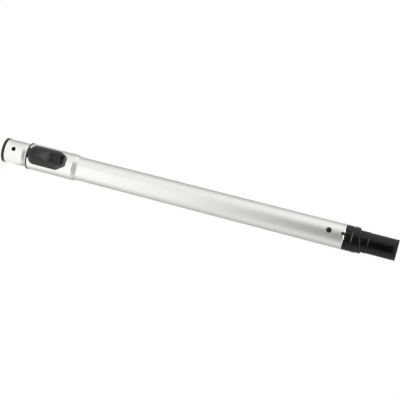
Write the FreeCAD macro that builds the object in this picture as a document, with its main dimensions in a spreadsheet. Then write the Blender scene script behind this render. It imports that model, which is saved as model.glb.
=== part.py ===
import FreeCAD, Part
import math
import os
import re
import Sketcher
from FreeCAD import Rotation, Vector

# Telescopic vacuum wand, pushed together and standing on its socket's mouth.
# The origin is the centre of that mouth, +Z runs up to the tool spigot and -Y out through the lock.
# A body is drawn along its own X, with its own Z through the lock, and its placement stands it up.
# All sizes are in millimetres and degrees.

# Driving dimensions: alias, size, meaning
SIZES = [
    ("outer_od", 38.0, "outer tube, outside diameter"),
    ("outer_wall", 0.8, "outer tube, wall"),
    ("head_swell", 2.15, "widened head, beyond the outer tube all round"),
    ("head_length", 75.4, "widened head, straight length"),
    ("shoulder_length", 11.0, "head to tube, length of the cone"),
    ("shoulder_blend", 35.0, "head to tube, radius of the two blends"),
    ("tube_gap", 0.7, "between the two tubes all round"),
    ("inner_wall", 0.8, "inner tube, wall"),
    ("socket_swell", 0.25, "belled socket, beyond the outer tube all round"),
    ("socket_length", 36.0, "belled socket, mouth to cone"),
    ("taper_length", 6.5, "socket to tube, length of the cone"),
    ("taper_blend", 8.0, "socket to tube, radius of the blend"),
    ("neck_gap", 0.5, "cone to mouth flange when pushed in"),
    ("socket_hole", 7.2, "button hole in the socket, diameter"),
    ("socket_hole_at", 19.5, "button hole in the socket, from the mouth"),
    ("ring_length", 4.6, "end ring, length"),
    ("ring_wall", 0.6, "end ring, reach outside the socket"),
    ("flange_proud", 0.45, "mouth flange, beyond the head all round"),
    ("flange_thick", 2.7, "mouth flange, thickness"),
    ("flange_chamfer", 0.6, "mouth flange, chamfer of its face"),
    ("seal_thick", 2.0, "tube seal behind the sleeve, thickness"),
    ("key_width", 3.0, "sleeve's guide key, width"),
    ("key_depth", 0.65, "sleeve's guide key, height in the bore"),
    ("key_inset", 9.0, "guide key, short of the sleeve's two ends"),
    ("notch_pitch", 30.0, "lock notches, spacing"),
    ("notch_count", 13, "lock notches, number of stops"),
    ("notch_depth", 1.2, "lock notches, depth"),
    ("notch_floor", 2.6, "lock notches, width of the floor"),
    ("notch_flare", 1.2, "lock notches, run of a flank for each unit of depth"),
    ("roller_diameter", 5.0, "lock roller, diameter"),
    ("roller_length", 12.0, "lock roller, length"),
    ("roller_at", 24.3, "lock roller, from the head's mouth"),
    ("roller_rise", 1.35, "lock roller, lift when released"),
    ("thumb_travel", 6.0, "thumb slide, travel"),
    ("rails_at", 9.0, "rails in the window, from the head's mouth"),
    ("rails_width", 16.0, "rails in the window, width"),
    ("carriage_width", 15.0, "lock carriage, width"),
    ("carriage_thick", 2.5, "lock carriage, thickness"),
    ("carriage_nose", 11.5, "lock carriage, in front of the roller"),
    ("relief_run", 3.5, "carriage ramp, flat at its top"),
    ("pad_at", 36.4, "thumb pad, from the head's mouth"),
    ("pad_length", 20.2, "thumb pad, length"),
    ("pad_width", 13.6, "thumb pad, width"),
    ("pad_proud", 0.5, "thumb pad's ridge, above the cover"),
    ("ridge_length", 2.6, "thumb pad's ridge, length"),
    ("ridge_slope", 0.9, "thumb pad's ridge, run of its rear face"),
    ("dish_floor", 0.9, "thumb pad's dish, floor over the carriage"),
    ("dish_end", 1.2, "thumb pad's dish, rim at its end"),
    ("dish_rise", 1.0, "thumb pad's dish, rise to its end"),
    ("dish_rim", 1.3, "thumb pad's dish, rim at the sides"),
    ("tab_length", 8.0, "thumb pad's tabs, length"),
    ("tab_width", 1.6, "thumb pad's tabs, width"),
    ("tab_depth", 2.0, "thumb pad's tabs, depth in the carriage"),
    ("tab_spread", 9.0, "thumb pad's tabs, spacing across"),
    ("spring_od", 3.2, "return spring, outside diameter"),
    ("spring_wire", 0.5, "return spring, wire"),
    ("spring_length", 15.0, "return spring, length"),
    ("spring_turns", 3.0, "return spring, turns"),
    ("cover_width", 31.2, "lock cover, width at its foot"),
    ("cover_skirt", 2.2, "lock cover, upright skirt"),
    ("cover_tail", 64.6, "lock cover, tail from the head's mouth"),
    ("cover_tail_width", 16.8, "lock cover, width of the tail"),
    ("cover_chamfer", 12.9, "lock cover, length of the tail's chamfers"),
    ("cover_wall", 1.7, "lock cover, roof over the carriage"),
    ("crown_width", 16.0, "lock cover's crown, width of the flat"),
    ("crown_bevel", 1.5, "lock cover's crown, run of its bevel"),
    ("crown_drop", 0.9, "lock cover's crown, drop of its bevel"),
    ("cover_end_wall", 1.8, "lock cover, wall behind the well"),
    ("bush_band", 18.0, "tail bush, length of the band"),
    ("closed_gap", 4.0, "tail to plug when pushed in"),
    ("plug_depth", 42.0, "adapter plug, depth in the tube"),
    ("plug_wall", 2.9, "adapter plug, wall"),
    ("button_at", 22.0, "snap button, from the tube's end"),
    ("button_diameter", 7.8, "snap button, diameter"),
    ("button_proud", 1.5, "snap button, height over the tube"),
    ("button_foot_length", 11.0, "snap button's foot, length"),
    ("button_foot_thick", 0.8, "snap button's foot, thickness"),
    ("leaf_thick", 0.4, "leaf spring, thickness"),
    ("leaf_width", 6.0, "leaf spring, width"),
    ("leaf_length", 16.0, "leaf spring, button to root"),
    ("leaf_tab", 2.4, "leaf spring, root tab in the plug"),
    ("key_notch", 4.4, "tube end key, length and width"),
    ("collar_inset", 0.2, "collar, within the outer tube all round"),
    ("collar_length", 11.4, "collar, first band"),
    ("band_inset", 0.6, "second band, within the collar all round"),
    ("band_short", 9.2, "second band, short side"),
    ("band_long", 15.6, "second band, long side"),
    ("band_bend", 10.8, "second band, at the bend of its edge"),
    ("bend_aside", 4.0, "second band's bend, beside the axis"),
    ("collar_chamfer", 0.5, "line between the bands, chamfer of the collar"),
    ("grip_depth", 0.6, "collar's grip panels, depth"),
    ("grip_margin", 1.6, "collar's grip panels, rim"),
    ("grip_angle", 71.0, "collar's grip panels, width as an angle"),
    ("grip_turn", 15.5, "collar's grip panels, turned from the lock"),
    ("grip_count", 2, "collar's grip panels, number"),
    ("finger_proud", 0.55, "second band's finger pads, height"),
    ("finger_width", 8.0, "second band's finger pads, width"),
    ("finger_margin", 1.5, "second band's finger pads, rim"),
    ("spigot_od", 31.0, "tool spigot, outside diameter"),
    ("root_swell", 0.4, "tool spigot's root, beyond the spigot all round"),
    ("spigot_root", 22.9, "tool spigot's root, from the line between the bands"),
    ("spigot_length", 63.1, "tool spigot, from the line between the bands"),
    ("spigot_wall", 1.75, "tool spigot, wall"),
    ("spigot_chamfer", 0.7, "tool spigot, chamfer of its end"),
    ("slide_clearance", 0.1, "between pieces that slide on each other"),
    ("fit_clearance", 0.05, "between pieces that are seated"),
    ("side_clearance", 0.25, "beside pieces that move"),
    ("stop_clearance", 0.3, "at the end of the extension"),
]

# Derived radii, heights and stations, each from the sizes and the lines above it
DERIVED = [
    ("outer_radius", "outer_od / 2"),
    ("outer_bore", "outer_radius - outer_wall"),
    ("head_radius", "outer_radius + head_swell"),
    ("head_bore", "head_radius - outer_wall"),
    ("inner_radius", "outer_bore - tube_gap"),
    ("inner_bore", "inner_radius - inner_wall"),
    ("socket_radius", "outer_radius + socket_swell"),
    ("socket_bore", "socket_radius - inner_wall"),
    ("taper_end", "socket_length + taper_length"),
    ("flange_face", "taper_end + neck_gap"),
    ("head_start", "flange_face + flange_thick"),
    ("head_end", "head_start + head_length"),
    ("main_start", "head_end + shoulder_length"),
    ("seal_end", "head_end - fit_clearance"),
    ("sleeve_end", "seal_end - seal_thick"),
    ("sleeve_radius", "head_bore - fit_clearance"),
    ("sleeve_bore", "inner_radius + slide_clearance"),
    ("flange_radius", "head_radius + flange_proud"),
    ("extension", "notch_pitch * (notch_count - 1)"),
    ("bush_front", "seal_end + stop_clearance + extension"),
    ("bush_radius", "outer_bore - slide_clearance"),
    ("tube_end", "bush_front + bush_band"),
    ("plug_end", "tube_end + closed_gap"),
    ("outer_end", "plug_end + plug_depth"),
    ("collar_line", "outer_end + collar_length"),
    ("wand_end", "collar_line + spigot_length"),
    ("roller_x", "head_start + roller_at"),
    ("roller_radius", "roller_diameter / 2"),
    ("notch_z", "inner_radius - notch_depth"),
    ("roller_z", "notch_z + slide_clearance + roller_radius"),
    ("dent_z", "inner_bore + slide_clearance"),
    ("dent_floor", "notch_floor + inner_wall"),
    ("dent_width", "2 * sqrt(inner_radius ^ 2 - dent_z ^ 2) - 2 * slide_clearance"),
    ("flute_x", "flange_face + key_inset - side_clearance"),
    ("flute_half", "key_width / 2 + slide_clearance"),
    ("flute_z", "inner_radius - key_depth - slide_clearance"),
    ("rail_z", "roller_z + roller_radius + slide_clearance"),
    ("carriage_z", "rail_z + slide_clearance"),
    ("carriage_top", "carriage_z + carriage_thick"),
    ("well_z", "carriage_top + 2 * slide_clearance"),
    ("crown_z", "well_z + cover_wall"),
    ("carriage_start", "roller_x - carriage_nose"),
    ("pad_start", "head_start + pad_at"),
    ("pad_end", "pad_start + pad_length"),
    ("pad_top", "crown_z + pad_proud"),
    ("rails_x", "head_start + rails_at"),
    ("rails_half", "rails_width / 2"),
    ("window_half", "rails_half + side_clearance"),
    ("cover_half", "cover_width / 2"),
    ("cover_end", "head_start + cover_tail"),
    ("well_end", "cover_end - cover_end_wall"),
    ("skirt_z", "sqrt(head_radius ^ 2 - cover_half ^ 2) + cover_skirt"),
    ("brow_half", "crown_width / 2 + crown_bevel"),
    ("brow_z", "crown_z - crown_drop"),
    ("nose_reach", "cover_half - (head_radius - skirt_z) * (cover_half - brow_half) / (brow_z - skirt_z)"),
    ("cover_axis", "head_start + side_clearance + nose_reach"),
    ("spring_x", "pad_start + (pad_length - spring_length) / 2"),
    ("spring_z", "carriage_top - spring_od / 2 - slide_clearance"),
    ("slot_half", "spring_od / 2 + side_clearance"),
    ("slot_start", "spring_x - slide_clearance"),
    ("slot_end", "spring_x + spring_length + slide_clearance"),
    ("tab_x", "pad_start + (pad_length - tab_length) / 2"),
    ("tab_near", "(tab_spread - tab_width) / 2"),
    ("tab_far", "(tab_spread + tab_width) / 2"),
    ("plug_radius", "outer_bore - fit_clearance"),
    ("plug_bore", "plug_radius - plug_wall"),
    ("spigot_radius", "spigot_od / 2"),
    ("root_radius", "spigot_radius + root_swell"),
    ("root_end", "collar_line + spigot_root"),
    ("spigot_bore", "spigot_radius - spigot_wall"),
    ("collar_radius", "outer_radius - collar_inset"),
    ("band_radius", "collar_radius - band_inset"),
    ("button_x", "outer_end - button_at"),
    ("button_radius", "button_diameter / 2"),
    ("button_seat", "plug_bore + fit_clearance"),
    ("button_top", "outer_radius + button_proud"),
    ("foot_half", "button_foot_length / 2"),
    ("foot_z", "button_seat - fit_clearance - button_foot_thick"),
    ("leaf_z", "foot_z - fit_clearance"),
    ("leaf_root", "button_x - leaf_length"),
]

# The wand's two sides and the sign of Y on each
SIDES = (("left", ""), ("right", "-"))

# The turn that stands a body up: where its own X, Y and Z point
UPRIGHT = Rotation(Vector(0, 0, 1), Vector(-1, 0, 0), Vector(0, -1, 0))

doc = FreeCAD.newDocument("telescopic_wand")
sheet = doc.addObject("Spreadsheet::Sheet", "Sizes")
for row, (alias, size, meaning) in enumerate(SIZES, start=1):
    sheet.set(f"A{row}", meaning)
    sheet.set(f"B{row}", str(size))
    sheet.setAlias(f"B{row}", alias)
derived = doc.addObject("App::VarSet", "Derived")
OWNERS = {alias: "Sizes" for alias, size, meaning in SIZES}


def bound(text):
    """The expression with each named size led by the object that holds it."""
    return re.sub(r"[a-z_]+", lambda m: f"{OWNERS[m[0]]}.{m[0]}" if m[0] in OWNERS else m[0], text)


for name, text in DERIVED:
    derived.addProperty("App::PropertyFloat", name)
    derived.setExpression(name, bound(text))
    OWNERS[name] = "Derived"
doc.recompute()


def bind(thing, **sizes):
    """Bind properties to sizes, with two underscores for the dots of a property path."""
    for path, text in sizes.items():
        thing.setExpression(path.replace("__", "."), bound(text))


def new_body(name):
    body = doc.addObject("PartDesign::Body", name)
    body.Label = name
    body.Placement.Rotation = UPRIGHT
    return body


def origin_part(body, role):
    return next(part for part in body.Origin.OriginFeatures if part.Role == role)


def new_sketch(body, role, name, lift="0"):
    """An empty sketch on one of the body's own planes, moved along its normal by lift."""
    sketch = body.newObject("Sketcher::SketchObject", name)
    sketch.AttachmentSupport = (origin_part(body, role), [""])
    sketch.MapMode = "FlatFace"
    bind(sketch, AttachmentOffset__Base__z=lift)
    return sketch


def fix(sketch, kind, *where, size):
    """Add one dimension and bind it to a size."""
    index = sketch.addConstraint(Sketcher.Constraint(kind, *where, 1.0))
    sketch.setExpression(f"Constraints[{index}]", bound(size))


def fix_point(sketch, geometry, end, point):
    for kind, size in zip(("DistanceX", "DistanceY"), point):
        fix(sketch, kind, -1, 1, geometry, end, size=size)


def polygon(body, role, name, points, lift="0"):
    """A closed outline of straight lines through the points."""
    sketch = new_sketch(body, role, name, lift)
    turn = 2 * math.pi / len(points)
    corners = [Vector(math.cos(turn * i), math.sin(turn * i), 0) for i in range(len(points))]
    for start, end in zip(corners, corners[1:] + corners[:1]):
        sketch.addGeometry(Part.LineSegment(start, end), False)
    for i, point in enumerate(points):
        sketch.addConstraint(Sketcher.Constraint("Coincident", i, 2, (i + 1) % len(points), 1))
        fix_point(sketch, i, 1, point)
    return sketch


def rectangle(body, role, name, x0, x1, half, lift="0"):
    """A rectangle from x0 to x1, centred across."""
    return polygon(body, role, name, [(x0, f"-({half})"), (x1, f"-({half})"), (x1, half), (x0, half)], lift)


def mirrored(half_section):
    """A section symmetric about its vertical axis, from the points of its right half."""
    return half_section + [(f"-({x})", z) for x, z in reversed(half_section)]


def disc(body, role, name, x, y, radius, lift="0"):
    sketch = new_sketch(body, role, name, lift)
    sketch.addGeometry(Part.Circle(Vector(1, 1, 0), Vector(0, 0, 1), 1), False)
    fix_point(sketch, 0, 3, (x, y))
    fix(sketch, "Radius", 0, size=radius)
    return sketch


def feature(body, kind, name, sketch, **sizes):
    made = body.newObject(f"PartDesign::{kind}", name)
    made.Profile = sketch
    bind(made, **sizes)
    return made


def turned(body, name, points, cut=False, axis="H_Axis"):
    """Revolve a half section about one axis of its sketch, to add or to cut."""
    sketch = polygon(body, "XZ_Plane", f"{name}_section", points)
    made = feature(body, "Groove" if cut else "Revolution", name, sketch)
    made.ReferenceAxis = (sketch, [axis])
    return made


def padded(body, name, sketch, length, both_ways=False, backwards=False):
    made = feature(body, "Pad", name, sketch, Length=length)
    made.Midplane = both_ways
    made.Reversed = backwards
    return made


def cut_through(body, name, sketch, both_ways=False, backwards=False):
    """Cut through everything, against the sketch's normal unless backwards."""
    made = feature(body, "Pocket", name, sketch)
    made.Type = "ThroughAll"
    made.Midplane = both_ways
    made.Reversed = backwards
    return made


def cut_up(body, name, sketch, height=None):
    """Cut from a level sketch upwards, through everything or to a height above the sketch."""
    made = cut_through(body, name, sketch, backwards=True)
    if height is not None:
        made.Type = "Length"
        bind(made, Length=height)
    return made


def repeated(body, kind, name, original, axis, count, **sizes):
    """A linear or polar pattern of one feature along or about an axis of the body."""
    made = body.newObject(f"PartDesign::{kind}", name)
    made.Originals = [original]
    setattr(made, "Direction" if kind == "LinearPattern" else "Axis", (origin_part(body, axis), [""]))
    bind(made, Occurrences=count, **sizes)
    body.Tip = made
    return made


def size_of(name):
    """A size's present value."""
    return getattr(doc.getObject(OWNERS[name]), name)


def blended(body, name, radius, rings):
    """Round the edges that run about the wand's axis at the given stations and radii."""
    doc.recompute()
    base = body.Tip
    wanted = [(size_of(station), size_of(size)) for station, size in rings]
    names = []
    for i, edge in enumerate(base.Shape.Edges, start=1):
        curve = edge.Curve
        if not isinstance(curve, Part.Circle):
            continue
        if any(math.isclose(curve.Center.x, x) and math.isclose(curve.Radius, r) for x, r in wanted):
            names.append(f"Edge{i}")
    made = body.newObject("PartDesign::Fillet", name)
    made.Base = (base, names)
    bind(made, Radius=radius)
    return made


def outer_tube():
    """The drawn tube: head, shoulder and plain run, with the lock window and the end's cuts."""
    body = new_body("outer_tube")
    turned(body, "tube_wall", [
        ("head_start", "head_radius"), ("head_end", "head_radius"),
        ("main_start", "outer_radius"), ("outer_end", "outer_radius"),
        ("outer_end", "outer_bore"), ("main_start", "outer_bore"),
        ("head_end", "head_bore"), ("head_start", "head_bore")])
    blended(body, "shoulder", "shoulder_blend", [("head_end", "head_radius"), ("main_start", "outer_radius")])
    cut_up(body, "lock_window", rectangle(
        body, "XY_Plane", "window_outline", "flange_face", "well_end", "window_half"))
    cut_up(body, "button_hole", disc(
        body, "XY_Plane", "button_hole_outline", "button_x", "0", "button_radius + slide_clearance"))
    cut_up(body, "end_notch", rectangle(
        body, "XY_Plane", "end_notch_outline", "outer_end - key_notch", "collar_line", "key_notch / 2"))
    return body


def flanks(z, floor, top):
    """Half of a notch's section: from half the floor's width, flaring up to a height."""
    return [(f"({floor}) / 2", z), (f"({floor}) / 2 + notch_flare * ({top} - ({z}))", top)]


def inner_tube():
    """The sliding tube: belled socket, pressed notches for the roller and a flute for the key."""
    body = new_body("inner_tube")
    turned(body, "socket_and_tube", [
        ("0", "socket_radius"), ("socket_length", "socket_radius"), ("taper_end", "inner_radius"),
        ("tube_end", "inner_radius"), ("tube_end", "inner_bore"), ("taper_end", "inner_bore"),
        ("socket_length", "socket_bore"), ("0", "socket_bore")])
    blended(body, "bell", "taper_blend", [("socket_length", "socket_radius")])
    cut_up(body, "socket_hole_cut", disc(
        body, "XY_Plane", "socket_hole_outline", "socket_hole_at", "0", "socket_hole / 2"))

    def across(points):
        return [(f"roller_x + {x}", z) for x, z in mirrored(points)]

    dent = padded(body, "dent", polygon(body, "XZ_Plane", "dent_section", across(
        flanks("notch_z - inner_wall", "dent_floor", "dent_z"))), "dent_width", both_ways=True)
    repeated(body, "LinearPattern", "dents", dent, "X_Axis", "notch_count", Length="extension")
    notch = cut_through(body, "notch", polygon(body, "XZ_Plane", "notch_section", across(
        flanks("notch_z", "notch_floor", "inner_radius + notch_depth"))), both_ways=True)
    repeated(body, "LinearPattern", "notches", notch, "X_Axis", "notch_count", Length="extension")
    padded(body, "flute_wall", polygon(body, "YZ_Plane", "flute_wall_section", mirrored([
        ("flute_half + inner_wall", "-(flute_z - inner_wall)"), ("flute_half + inner_wall", "-(dent_z)")]),
        lift="flute_x - inner_wall"), "tube_end - flute_x + inner_wall")
    cut_through(body, "flute", polygon(body, "YZ_Plane", "flute_section", mirrored([
        ("flute_half", "-(flute_z)"), ("flute_half", "-(inner_radius + key_depth)")]),
        lift="flute_x"), backwards=True)
    return body


def end_ring():
    """The ring pressed over the socket's edge."""
    body = new_body("end_ring")
    turned(body, "ring_band", [
        ("0", "socket_radius + fit_clearance"), ("0", "socket_radius + ring_wall"),
        ("ring_length", "socket_radius + ring_wall"), ("ring_length", "socket_radius + fit_clearance")])
    return body


def guide_sleeve():
    """The sleeve in the head: mouth flange, the lock's rails and well, and the guide key."""
    body = new_body("guide_sleeve")
    turned(body, "sleeve_form", [
        ("flange_face", "0"), ("flange_face", "flange_radius - flange_chamfer"),
        ("flange_face + flange_chamfer", "flange_radius"), ("head_start", "flange_radius"),
        ("head_start", "sleeve_radius"), ("sleeve_end", "sleeve_radius"), ("sleeve_end", "0")])
    padded(body, "rails", rectangle(
        body, "XY_Plane", "rails_outline", "rails_x", "well_end - side_clearance", "rails_half"), "rail_z")
    cut_through(body, "sleeve_bore_cut", disc(
        body, "YZ_Plane", "sleeve_bore_outline", "0", "0", "sleeve_bore", lift="main_start"))
    cut_up(body, "roller_well", rectangle(
        body, "XY_Plane", "roller_well_outline", "roller_x - roller_radius - slide_clearance",
        "roller_x + roller_radius + slide_clearance", "roller_length / 2 + side_clearance"))
    cut_up(body, "spring_trough", rectangle(
        body, "XY_Plane", "spring_trough_outline", "slot_start", "slot_end", "slot_half",
        lift="spring_z - spring_od / 2 - slide_clearance"))
    padded(body, "guide_key", polygon(body, "YZ_Plane", "guide_key_section", mirrored([
        ("key_width / 2", "-(inner_radius - key_depth)"), ("key_width / 2", "-(sleeve_radius - outer_wall)")]),
        lift="flange_face + key_inset"), "sleeve_end - flange_face - 2 * key_inset")
    return body


def tube_seal():
    """The flat rubber ring held between the sleeve and the shoulder."""
    body = new_body("tube_seal")
    turned(body, "seal_ring", [
        ("sleeve_end", "inner_radius + fit_clearance"), ("sleeve_end", "sleeve_radius"),
        ("seal_end", "sleeve_radius"), ("seal_end", "inner_radius + fit_clearance")])
    return body


def lock_cover():
    """The lock's housing: a section drawn along the head, turned about its own axis at the nose."""
    body = new_body("lock_cover")
    bind(body, Placement__Base__z="cover_axis")

    def local(station):
        return f"{station} - cover_axis"

    half = [("cover_half", "head_radius / 2"), ("cover_half", "skirt_z"), ("brow_half", "brow_z"),
            ("crown_width / 2", "crown_z")]
    turned(body, "nose", [("0", "head_radius / 2")] + half + [("0", "crown_z")], axis="V_Axis")
    padded(body, "housing", polygon(body, "YZ_Plane", "housing_section", mirrored(half)), local("cover_end"))
    for side, sign in SIDES:
        cut_through(body, f"tail_chamfer_{side}", polygon(body, "XY_Plane", f"tail_chamfer_outline_{side}", [
            (local("cover_end - cover_chamfer"), f"{sign}(cover_half)"),
            (local("cover_end"), f"{sign}(cover_tail_width / 2)"), (local("cover_end"), f"{sign}(cover_width)"),
            (local("cover_end - cover_chamfer"), f"{sign}(cover_width)")]), backwards=True)
    cut_through(body, "saddle", disc(
        body, "YZ_Plane", "saddle_outline", "0", "0", "head_radius + fit_clearance", lift="cover_end"))
    cut_up(body, "rail_room", rectangle(
        body, "XY_Plane", "rail_room_outline", local("rails_x - side_clearance"), local("well_end"),
        "window_half"), height="rail_z + slide_clearance")
    cut_up(body, "carriage_room", rectangle(
        body, "XY_Plane", "carriage_room_outline", local("carriage_start - side_clearance"), local("well_end"),
        "carriage_width / 2 + side_clearance"), height="well_z")
    cut_up(body, "thumb_opening", rectangle(
        body, "XY_Plane", "thumb_opening_outline", local("pad_start - side_clearance"), local("well_end"),
        "pad_width / 2 + side_clearance"))
    return body


def tab(body, name, sign, room="0", lift="0"):
    """The outline of one of the tabs that join the thumb pad and the carriage."""
    start, end = f"tab_x - {room}", f"tab_x + tab_length + {room}"
    near, far = f"{sign}(tab_near - {room})", f"{sign}(tab_far + {room})"
    return polygon(body, "XY_Plane", name, [(start, near), (end, near), (end, far), (start, far)], lift)


def lock_carriage():
    """The slide on the rails, with the ramp that frees the roller."""
    body = new_body("lock_carriage")
    padded(body, "plate", rectangle(
        body, "XY_Plane", "plate_outline", "carriage_start", "pad_end", "carriage_width / 2",
        lift="carriage_z"), "carriage_thick")
    cut_through(body, "release_ramp", polygon(body, "XZ_Plane", "ramp_outline", [
        ("roller_x", "carriage_z"), ("roller_x", "rail_z"), ("roller_x - thumb_travel - relief_run", "rail_z"),
        ("roller_x - thumb_travel - relief_run", "carriage_z + roller_rise"),
        ("roller_x - thumb_travel", "carriage_z + roller_rise")]), both_ways=True)
    cut_up(body, "spring_slot", rectangle(
        body, "XY_Plane", "spring_slot_outline", "slot_start", "slot_end", "slot_half"))
    for side, sign in SIDES:
        cut_up(body, f"tab_slot_{side}", tab(body, f"tab_slot_outline_{side}", sign, room="fit_clearance"))
    return body


def thumb_pad():
    """The thumb piece: a ridge, a scooped dish behind it and two tabs in the carriage."""
    body = new_body("thumb_pad")
    padded(body, "block", rectangle(
        body, "XY_Plane", "block_outline", "pad_start", "pad_end", "pad_width / 2", lift="carriage_top"),
        "pad_top - carriage_top")
    dish = cut_through(body, "dish", polygon(body, "XZ_Plane", "dish_outline", [
        ("pad_start + ridge_length", "pad_top"),
        ("pad_start + ridge_length + ridge_slope", "carriage_top + dish_floor"),
        ("pad_end - dish_end", "carriage_top + dish_floor + dish_rise"),
        ("pad_end - dish_end", "pad_top")]), both_ways=True)
    dish.Type = "Length"
    bind(dish, Length="pad_width - 2 * dish_rim")
    for side, sign in SIDES:
        padded(body, f"tab_{side}", tab(body, f"tab_outline_{side}", sign, lift="carriage_top"), "tab_depth",
               backwards=True)
    return body


def lock_roller():
    """The steel roller that lies across a notch."""
    made = doc.addObject("Part::Cylinder", "lock_roller")
    made.Placement.Rotation = Rotation(Vector(0, 1, 0), 90)
    bind(made, Radius="roller_radius", Height="roller_length", Placement__Base__x="-(roller_length / 2)",
         Placement__Base__y="-(roller_z)", Placement__Base__z="roller_x")
    return made


def return_spring():
    """The coil spring between the rails and the carriage, its wire drawn six-sided."""
    helix = doc.addObject("Part::Helix", "coil")
    bind(helix, Radius="(spring_od - spring_wire) / 2", Height="spring_length - spring_wire",
         Pitch="(spring_length - spring_wire) / spring_turns")
    wire = doc.addObject("Part::RegularPolygon", "wire")
    wire.Polygon = 6
    wire.Placement.Rotation = Rotation(Vector(1, 0, 0), 90)
    bind(wire, Circumradius="spring_wire / 2", Placement__Base__x="(spring_od - spring_wire) / 2")
    made = doc.addObject("Part::Sweep", "return_spring")
    made.Sections = [wire]
    made.Spine = (helix, [])
    made.Solid = True
    made.Frenet = True
    bind(made, Placement__Base__y="-(spring_z)", Placement__Base__z="spring_x + spring_wire / 2")
    return made


def tail_bush():
    """The bush on the inner tube's hidden end: it runs in the outer tube and stops at the seal."""
    body = new_body("tail_bush")
    turned(body, "bush_form", [
        ("bush_front", "inner_radius + fit_clearance"), ("bush_front", "bush_radius"),
        ("tube_end", "bush_radius"), ("tube_end", "inner_radius + fit_clearance")])
    return body


def tool_adapter():
    """The adapter in the tube's plain end: plug, key, two collar bands and the tool spigot."""
    body = new_body("tool_adapter")
    turned(body, "second_band", [
        ("outer_end", "0"), ("outer_end", "band_radius"), ("collar_line + band_long", "band_radius"),
        ("collar_line + band_long", "0")])
    for side, backwards in (("left", True), ("right", False)):
        padded(body, f"finger_pad_{side}", polygon(body, "XZ_Plane", f"finger_pad_outline_{side}", [
            ("collar_line + finger_margin", "-(finger_width / 2)"),
            ("collar_line + band_short - finger_margin", "-(finger_width / 2)"),
            ("collar_line + band_short - finger_margin", "finger_width / 2"),
            ("collar_line + finger_margin", "finger_width / 2")]), "band_radius + finger_proud",
            backwards=backwards)
    cut_through(body, "band_slant", polygon(body, "XY_Plane", "slant_outline", [
        ("collar_line + band_short", "band_radius"), ("collar_line + band_bend", "-(bend_aside)"),
        ("collar_line + band_long", "-(band_radius)"), ("wand_end", "-(band_radius)"),
        ("wand_end", "band_radius")]), both_ways=True)
    turned(body, "plug_collar_and_spigot", [
        ("plug_end", "0"), ("plug_end", "plug_radius"), ("outer_end", "plug_radius"),
        ("outer_end", "collar_radius"), ("collar_line - collar_chamfer", "collar_radius"),
        ("collar_line", "band_radius"), ("collar_line", "root_radius"),
        ("root_end", "root_radius"), ("root_end", "spigot_radius"),
        ("wand_end - spigot_chamfer", "spigot_radius"), ("wand_end", "spigot_radius - spigot_chamfer"),
        ("wand_end", "0")])
    padded(body, "end_key", rectangle(
        body, "XY_Plane", "end_key_outline", "outer_end - key_notch + fit_clearance",
        "outer_end + collar_chamfer", "key_notch / 2 - fit_clearance"), "outer_radius")
    turned(body, "air_way", [
        ("plug_end", "0"), ("plug_end", "plug_bore"), ("outer_end", "plug_bore"),
        ("outer_end", "spigot_bore"), ("wand_end", "spigot_bore"), ("wand_end", "0")], cut=True)
    cut_up(body, "button_guide", disc(
        body, "XY_Plane", "button_guide_outline", "button_x", "0", "button_radius + slide_clearance"))
    cut_up(body, "foot_recess", rectangle(
        body, "XY_Plane", "foot_recess_outline", "button_x - foot_half - side_clearance",
        "button_x + foot_half + side_clearance", "leaf_width / 2 + side_clearance"), height="button_seat")
    cut_up(body, "leaf_slot", rectangle(
        body, "XY_Plane", "leaf_slot_outline", "leaf_root - fit_clearance",
        "leaf_root + leaf_thick + fit_clearance", "leaf_width / 2 + fit_clearance"),
        height="leaf_z + leaf_tab + fit_clearance")
    panel = turned(body, "grip_panel", [
        ("outer_end + grip_margin", "collar_radius - grip_depth"),
        ("collar_line - grip_margin", "collar_radius - grip_depth"),
        ("collar_line - grip_margin", "collar_radius + grip_depth"),
        ("outer_end + grip_margin", "collar_radius + grip_depth")], cut=True)
    panel.Midplane = True
    bind(panel, Angle="grip_angle")
    panel.Profile[0].AttachmentOffset.Rotation.Axis = Vector(1, 0, 0)
    bind(panel.Profile[0], AttachmentOffset__Rotation__Angle="grip_turn")
    repeated(body, "PolarPattern", "grip_panels", panel, "X_Axis", "grip_count")
    return body


def snap_button():
    """The round button that holds the plug in the tube."""
    body = new_body("snap_button")
    bind(body, Placement__Base__z="button_x")
    turned(body, "button_form", [
        ("0", "foot_z"), ("button_radius", "foot_z"), ("button_radius", "button_top - button_proud / 2"),
        ("button_radius - button_proud", "button_top"), ("0", "button_top")], axis="V_Axis")
    padded(body, "foot", rectangle(
        body, "XY_Plane", "foot_outline", "-(foot_half)", "foot_half", "leaf_width / 2", lift="foot_z"),
        "button_foot_thick")
    return body


def button_spring():
    """The leaf spring under the button, its root tab pressed into the plug."""
    body = new_body("button_spring")
    padded(body, "leaf", polygon(body, "XZ_Plane", "leaf_section", [
        ("leaf_root", "leaf_z - leaf_thick"), ("button_x + button_radius", "leaf_z - leaf_thick"),
        ("button_x + button_radius", "leaf_z"), ("leaf_root + leaf_thick", "leaf_z"),
        ("leaf_root + leaf_thick", "leaf_z + leaf_tab"), ("leaf_root", "leaf_z + leaf_tab")]),
        "leaf_width", both_ways=True)
    return body


NODES = [make() for make in (
    outer_tube, inner_tube, end_ring, guide_sleeve, tube_seal, lock_cover, lock_carriage, thumb_pad,
    lock_roller, return_spring, tail_bush, tool_adapter, snap_button, button_spring)]
doc.recompute()

for item in doc.Objects:
    if {"Invalid", "Error"} & set(item.State):
        raise RuntimeError(f"{item.Name} failed: {item.State}")
os.makedirs("parts", exist_ok=True)
for node in NODES:
    if node.Shape.isNull() or not node.Shape.isValid():
        raise RuntimeError(f"{node.Label} has no sound shape")
    node.Shape.exportStep(f"parts/{node.Label}.step")
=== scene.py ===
import math

import bmesh
import bpy
import numpy as np
from mathutils import Matrix, Vector


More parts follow.
